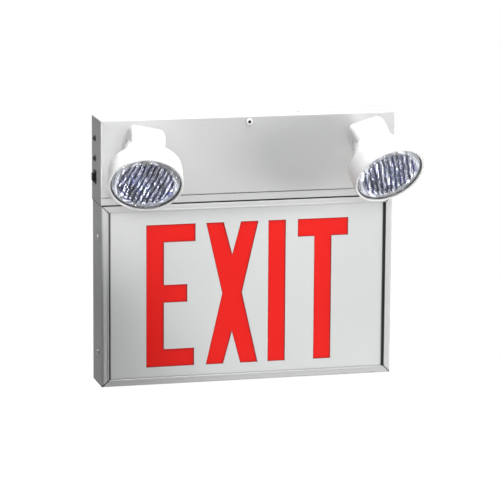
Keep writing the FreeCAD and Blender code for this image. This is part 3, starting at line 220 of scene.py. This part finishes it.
def shadow(skin, share, dark):
    """Lays dark over skin's colour where the result of the node share falls to 0."""
    tree = skin.node_tree
    colour = tree.nodes["Principled BSDF"].inputs["Base Color"]
    laid = add(tree, "Mix", {"A": (*dark, 1.0)}, data_type="RGBA")
    tree.links.new(colour.links[0].from_socket, laid.inputs["B"])
    link(tree, (share, "Result", laid, "Factor"))
    tree.links.new(laid.outputs["Result"], colour)


def crevice_shade(skin, low, high, dark=(0.006, 0.006, 0.008)):
    """Paints shade into skin where its neighbours, up to 5 mm off, shut it in: fully at low, not at
    high.
    """
    tree = skin.node_tree
    corner = add(tree, "AmbientOcclusion", {"Distance": 0.005}, samples=8)
    open_part = add(tree, "MapRange", {"From Min": low, "From Max": high})
    link(tree, (corner, "AO", open_part, "Value"))
    shadow(skin, open_part, dark)


def powder_coat(name, colour, rough, peel, mottle, low, high):
    """Powder coat: peel is the depth of its skin, mottle how far its tone falls, and low and high
    set the shade painted into its crevices.
    """
    darker = [channel * (1.0 - mottle) for channel in colour]
    skin = cloudy(name, darker, colour, 7.0, 3.0, (rough - 0.05, rough + 0.05))
    tree = skin.node_tree
    shader = tree.nodes["Principled BSDF"]
    shader.inputs["Specular IOR Level"].default_value = 0.45
    place = add(tree, "TexCoord")
    grain = add(tree, "TexNoise", {"Scale": 900.0, "Detail": 1.0})
    relief = add(tree, "Bump", {"Strength": peel, "Distance": 0.0002})
    link(tree, (place, "Object", grain, "Vector"), (grain, "Fac", relief, "Height"),
         (relief, "Normal", shader, "Normal"))
    crevice_shade(skin, low, high)
    return skin


def joint_shade_line(skin, spans, offset, width, dark=(0.006, 0.006, 0.008)):
    """Paints a dark hairline of shade where the spans add up to offset. A span is an axis, a centre
    on it and a factor for the distance from that centre. The line is that width to either side."""
    tree = skin.node_tree
    place = add(tree, "TexCoord")
    split = add(tree, "SeparateXYZ")
    link(tree, (place, "Object", split, 0))
    total = None
    for axis, centre, factor in spans:
        shifted = add(tree, "Math", {1: centre}, operation="SUBTRACT")
        off_centre = add(tree, "Math", operation="ABSOLUTE")
        term = add(tree, "Math", {1: factor, 2: -offset}, operation="MULTIPLY_ADD")
        link(tree, (split, axis, shifted, 0), (shifted, 0, off_centre, 0), (off_centre, 0, term, 0))
        if total is not None:
            link(tree, (total, 0, term, 2))
        total = term
    away = add(tree, "Math", operation="ABSOLUTE")
    clear = add(tree, "MapRange", {"From Min": width * 0.6, "From Max": width})
    link(tree, (total, 0, away, 0), (away, 0, clear, "Value"))
    shadow(skin, clear, dark)


def dress(material, *names):
    """Gives that material to the named pieces."""
    for name in names:
        mesh = nodes[name].data
        mesh.materials.clear()
        mesh.materials.append(material)


steel_white = (0.64, 0.645, 0.64)
sign_low, sign_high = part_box("frame_rail_left")
seam = sign_high[2]
dress(powder_coat("cover_coat", steel_white, 0.42, 0.25, 0.05, 0.0, 0.25), "front_cover")
housing_coat = powder_coat("housing_coat", steel_white, 0.42, 0.25, 0.05, 0.0, 0.25)
# Painted shade: a dark hairline along the seam where the housing meets the top rail.
joint_shade_line(housing_coat, [("Z", seam, 1.0)], 0.0, 0.0013)
dress(housing_coat, "battery_housing")

# ---------------------------------------------------------------- sign frame
# Four lengths of extruded aluminium rail, mitred, keyed together inside and coated as a set.
# The mitres, the seam under the housing and the uprights' inner edges get dark lines of painted
# shade.
half_wide, half_tall = -sign_low[0], (sign_high[2] - sign_low[2]) / 2
sign_middle = (sign_high[2] + sign_low[2]) / 2
rail_inner = half_wide - (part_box("frame_rail_left")[1][0] - sign_low[0])


def rail_coat(name):
    """The rails' coat, with painted shade lines along the mitres at its corners."""
    skin = powder_coat(name, (0.66, 0.665, 0.66), 0.36, 0.15, 0.04, 0.28, 0.75)
    mitre = [("X", 0.0, 1.0), ("Z", sign_middle, -1.0)]
    joint_shade_line(skin, mitre, half_wide - half_tall, 0.0013)
    return skin


upright_coat = rail_coat("upright_rail_coat")
# Painted shade along the uprights' inner edges, where they step down to the face.
joint_shade_line(upright_coat, [("X", 0.0, 1.0)], rail_inner, 0.0008, (0.045, 0.045, 0.05))
dress(upright_coat, "frame_rail_left", "frame_rail_right")
level_coat = rail_coat("level_rail_coat")
# Painted shade along the seam under the housing.
joint_shade_line(level_coat, [("Z", seam, 1.0)], 0.0, 0.0014)
dress(level_coat, "frame_rail_top", "frame_rail_bottom")

# ---------------------------------------------------------------- sign face and tray
# The face is painted sheet steel with the letters cut through it. The folded tray nests in the
# frame behind it, coated a trace warmer, and presses it against the rails' legs.
face_coat = powder_coat("face_coat", (0.76, 0.775, 0.77), 0.5, 0.25, 0.04, 0.25, 0.72)
# Painted shadow on the face beside the uprights, which stand in front of it.
joint_shade_line(face_coat, [("X", 0.0, 1.0)], rail_inner, 0.0038, (0.05, 0.05, 0.055))
dress(face_coat, "stencil_plate")
dress(powder_coat("tray_coat", (0.72, 0.72, 0.71), 0.5, 0.2, 0.04, 0.25, 0.72), "sign_tray")

# ---------------------------------------------------------------- red sheet behind the letters
# Translucent plastic sheet, held behind the face: a deep red that scatters a little, with a soft
# sheen, and shade painted in close to the cut edges of the letters.
red = cloudy("red_sheet", (0.88, 0.006, 0.004), (0.98, 0.014, 0.008), 16.0, 4.0, None)
shader = red.node_tree.nodes["Principled BSDF"]
shader.inputs["Roughness"].default_value = 0.4
shader.inputs["Specular IOR Level"].default_value = 0.3
# Painted shade near the cut edges of the letters.
crevice_shade(red, 0.60, 0.92, (0.05, 0.002, 0.002))
dress(red, "red_diffuser")


# ---------------------------------------------------------------- screws, nuts and keys
# Zinc-plated steel screws, nuts and washers with a cloudy finish, the same plate on the battery
# strap and the board's standoffs, and bare aluminium on the rails' keys and the capacitors.
def metal(name, dark, light, rough, scale):
    """Bare or plated metal, cloudy in tone and gloss."""
    skin = cloudy(name, dark, light, scale, 3.0, (rough - 0.07, rough + 0.07))
    skin.node_tree.nodes["Principled BSDF"].inputs["Metallic"].default_value = 1.0
    return skin


sides = ("left", "right")
zinc = metal("zinc_plate", (0.62, 0.63, 0.62), (0.80, 0.80, 0.77), 0.3, 260.0)
dress(zinc, "rail_screws", "joining_screws", "joining_nuts", "battery_terminals",
      "battery_strap", "board_standoffs")
for side in sides:
    dress(zinc, side + "_swivel_washer", side + "_swivel_nut", side + "_pivot_bolt",
          side + "_pivot_nut")
dress(metal("mill_aluminium", (0.70, 0.71, 0.72), (0.82, 0.83, 0.84), 0.35, 90.0),
      "corner_keys", "filter_capacitors")


# ---------------------------------------------------------------- cover screw
# A domed steel screw with a white head, and the shade in its driving recess painted black. It goes
# through the top middle of the cover into a tab of the housing.
def moulded(name, colour, rough, spread=0.06, low=0.1, high=0.4):
    """Smooth plastic, rubber or paint: spread is how far its tone falls, and low and high set the
    shade painted into its crevices.
    """
    darker = [channel * (1.0 - spread) for channel in colour]
    skin = cloudy(name, darker, colour, 40.0, 2.0, (rough - 0.03, rough + 0.04))
    crevice_shade(skin, low, high)
    return skin


def middle(name):
    """The middle of a piece's box."""
    low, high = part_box(name)
    return Vector([(low[axis] + high[axis]) / 2 for axis in range(3)])


# Painted shade: a black disc in the middle of the head stands for the shade in its driving recess.
recess_shade_radius, recess_shade_edge = 0.0020, 0.0024
screw_paint = moulded("painted_screw", (0.95, 0.95, 0.94), 0.3, 0.02, 0.4, 0.8)
tree = screw_paint.node_tree
centre = middle("cover_screw")
place = add(tree, "TexCoord")
flat = add(tree, "VectorMath", {1: (1.0, 0.0, 1.0)}, operation="MULTIPLY")
reach = add(tree, "VectorMath", {1: (centre.x, 0.0, centre.z)}, operation="DISTANCE")
recess_shade = add(tree, "MapRange", {"From Min": recess_shade_radius, "From Max": recess_shade_edge})
link(tree, (place, "Object", flat, 0), (flat, 0, reach, 0), (reach, "Value", recess_shade, "Value"))
shadow(screw_paint, recess_shade, (0.003, 0.003, 0.003))
dress(screw_paint, "cover_screw")

# ---------------------------------------------------------------- inside the housing and tray
# A sealed battery in its strap, a transformer with varnished laminations and copper windings,
# a green charger board with its relay and plugs, and two strips of lighting diodes.
dress(metal("core_varnish", (0.10, 0.09, 0.08), (0.20, 0.19, 0.18), 0.5, 300.0),
      "transformer_core")
dress(metal("winding_copper", (0.45, 0.18, 0.07), (0.70, 0.32, 0.15), 0.35, 500.0),
      "transformer_coil")
dress(moulded("battery_case", (0.035, 0.036, 0.04), 0.5, 0.3), "battery")
dress(moulded("green_board", (0.02, 0.14, 0.05), 0.4, 0.2), "charger_board")
dress(moulded("relay_case", (0.02, 0.06, 0.20), 0.3), "transfer_relay")
dress(moulded("nylon", (0.78, 0.77, 0.72), 0.45), "output_connector", "supply_terminals")
dress(moulded("white_board", (0.82, 0.82, 0.80), 0.4), "led_strip_top", "led_strip_bottom")
dress(moulded("diode_phosphor", (0.85, 0.72, 0.25), 0.3), "led_diodes_top", "led_diodes_bottom")
dress(moulded("soft_rubber", (0.02, 0.02, 0.02), 0.7, 0.4), "wire_bush")

# ---------------------------------------------------------------- indicators and test switch
# Two dark tinted indicators in black snap-in holders, and a black push switch below them, all
# pressed into holes in the left end of the housing.
black = moulded("black_moulding", (0.012, 0.012, 0.014), 0.35, 0.3)
dress(black, "power_indicator_holder", "charge_indicator_holder", "test_switch_body")
dress(moulded("black_button", (0.010, 0.010, 0.011), 0.28, 0.3), "test_button")
dress(moulded("green_indicator", (0.008, 0.035, 0.012), 0.12), "power_indicator")
dress(moulded("amber_indicator", (0.06, 0.035, 0.006), 0.12), "charge_indicator")

# ---------------------------------------------------------------- lamp heads and swivels
# Injection-moulded white plastic, smooth and slightly glossy: a base that turns in the cover
# and a bell-shaped shell that tilts on it, with a pale ceramic lamp socket inside.
white_plastic = moulded("white_moulding", (0.93, 0.93, 0.925), 0.28, 0.015, 0.35, 0.75)
for side in sides:
    dress(white_plastic, side + "_head_shell", side + "_swivel_base")
    dress(moulded(side + "_steatite", (0.80, 0.78, 0.72), 0.5), side + "_lamp_socket")

# ---------------------------------------------------------------- lenses
# Clear moulded plastic with upright flutes inside a plain bright border, seated in the mouth of the
# shell. The shade of the fine gap round it is painted dark on the lens's edge, and the dark and
# light streaks of the flutes are a reflection painted into the lens's colour.
turns = {"left": math.radians(13.0), "right": math.radians(-15.7)}  # of the heads, about Y
lens_reflection_lean = 1.4
lens_radii = {"streaks_end": 0.0365, "border_starts": 0.0405, "gap_shade_starts": 0.0462, "gap_shade": 0.0468}


def reflection_streaks(tree, place, turn, wave, cut, plain, dark, light):
    """The colour of painted reflection streaks that lean as a head with that turn does, all light
    where the result of the node plain is 1."""
    leaning = (math.cos(turn), 0.0, -math.sin(turn))
    across = add(tree, "VectorMath", {1: leaning}, operation="DOT_PRODUCT")
    split = add(tree, "SeparateXYZ")
    joined = add(tree, "CombineXYZ")
    link(tree, (place, "Object", across, 0), (place, "Object", split, 0),
         (across, "Value", joined, "X"), (split, "Y", joined, "Y"), (split, "Z", joined, "Z"))
    edge = bands(tree, joined, 0, wave, cut)
    brighter = add(tree, "Math", operation="MAXIMUM")
    tone = add(tree, "Mix", {"A": (*dark, 1.0), "B": (*light, 1.0)}, data_type="RGBA")
    link(tree, (edge, "Result", brighter, 0), (plain, "Result", brighter, 1),
         (brighter, 0, tone, "Factor"))
    return tone


lens_reflection_wave = {"Scale": 46.0, "Distortion": 2.4, "Detail": 1.5, "Detail Scale": 1.6}
for side in sides:
    pivot = middle(side + "_pivot_bolt")
    axle = (middle(side + "_lens") - pivot).normalized()
    clear, tree, shader = finish(side + "_clear_lens")
    shader.inputs["IOR"].default_value = 1.49
    place = add(tree, "TexCoord")
    shifted = add(tree, "VectorMath", {1: pivot}, operation="SUBTRACT")
    aside = add(tree, "VectorMath", {1: axle}, operation="CROSS_PRODUCT")
    radius = add(tree, "VectorMath", operation="LENGTH")
    border = add(tree, "MapRange", {"From Min": lens_radii["streaks_end"],
                                    "From Max": lens_radii["border_starts"]})
    clearness = add(tree, "MapRange", {"To Min": 1.0, "To Max": 0.8})
    haze = add(tree, "MapRange", {"To Max": 0.08})
    seat_shade = add(tree, "MapRange", {"From Min": lens_radii["gap_shade_starts"],
                                  "From Max": lens_radii["gap_shade"]})
    # Painted shade of the fine gap round the lens, laid near black on its outer edge.
    gap_shade = add(tree, "Mix", {"B": (0.004, 0.004, 0.006, 1.0)}, data_type="RGBA")
    # Painted reflection: dark and light streaks in the lens's colour, clear in its border.
    tone = reflection_streaks(tree, place, lens_reflection_lean * turns[side], lens_reflection_wave, (0.24, 0.36), border,
                   (0.02, 0.025, 0.08), (1.0, 1.0, 1.0))
    link(tree, (place, "Object", shifted, 0), (shifted, 0, aside, 0), (aside, 0, radius, 0),
         (radius, "Value", border, "Value"), (radius, "Value", seat_shade, "Value"),
         (seat_shade, "Result", gap_shade, "Factor"), (tone, "Result", gap_shade, "A"),
         (gap_shade, "Result", shader, "Base Color"), (border, "Result", clearness, "Value"),
         (clearness, "Result", shader, "Transmission Weight"), (border, "Result", haze, "Value"),
         (haze, "Result", shader, "Roughness"))
    dress(clear, side + "_lens")

# ---------------------------------------------------------------- bowls and bulbs
# A bowl of metallised plastic, mirror-bright, with a reflection painted into its colour as dark
# streaks that stop short of its rim, and a small clear glass bulb in the middle of it.
bowl_reflection_wave = {"Scale": 27.0, "Distortion": 2.6, "Detail": 1.0, "Detail Scale": 2.0}
rim_starts, rim_full = 0.060, 0.066
for side in sides:
    bowl, tree, shader = finish(side + "_bowl_mirror")
    shader.inputs["Metallic"].default_value = 1.0
    shader.inputs["Roughness"].default_value = 0.02
    place = add(tree, "TexCoord")
    reach = add(tree, "VectorMath", {1: middle(side + "_pivot_bolt")}, operation="DISTANCE")
    rim = add(tree, "MapRange", {"From Min": rim_starts, "From Max": rim_full})
    # Painted reflection: dark streaks in the mirror's colour, light towards its rim.
    tone = reflection_streaks(tree, place, turns[side], bowl_reflection_wave, (0.16, 0.26), rim,
                   (0.003, 0.004, 0.015), (0.95, 0.96, 1.0))
    link(tree, (place, "Object", reach, 0), (reach, "Value", rim, "Value"),
         (tone, "Result", shader, "Base Color"))
    dress(bowl, side + "_reflector")
    glass, tree, shader = finish(side + "_bulb_glass")
    shader.inputs["Base Color"].default_value = (0.95, 0.96, 0.98, 1.0)
    shader.inputs["Transmission Weight"].default_value = 1.0
    shader.inputs["Roughness"].default_value = 0.03
    dress(glass, side + "_bulb")
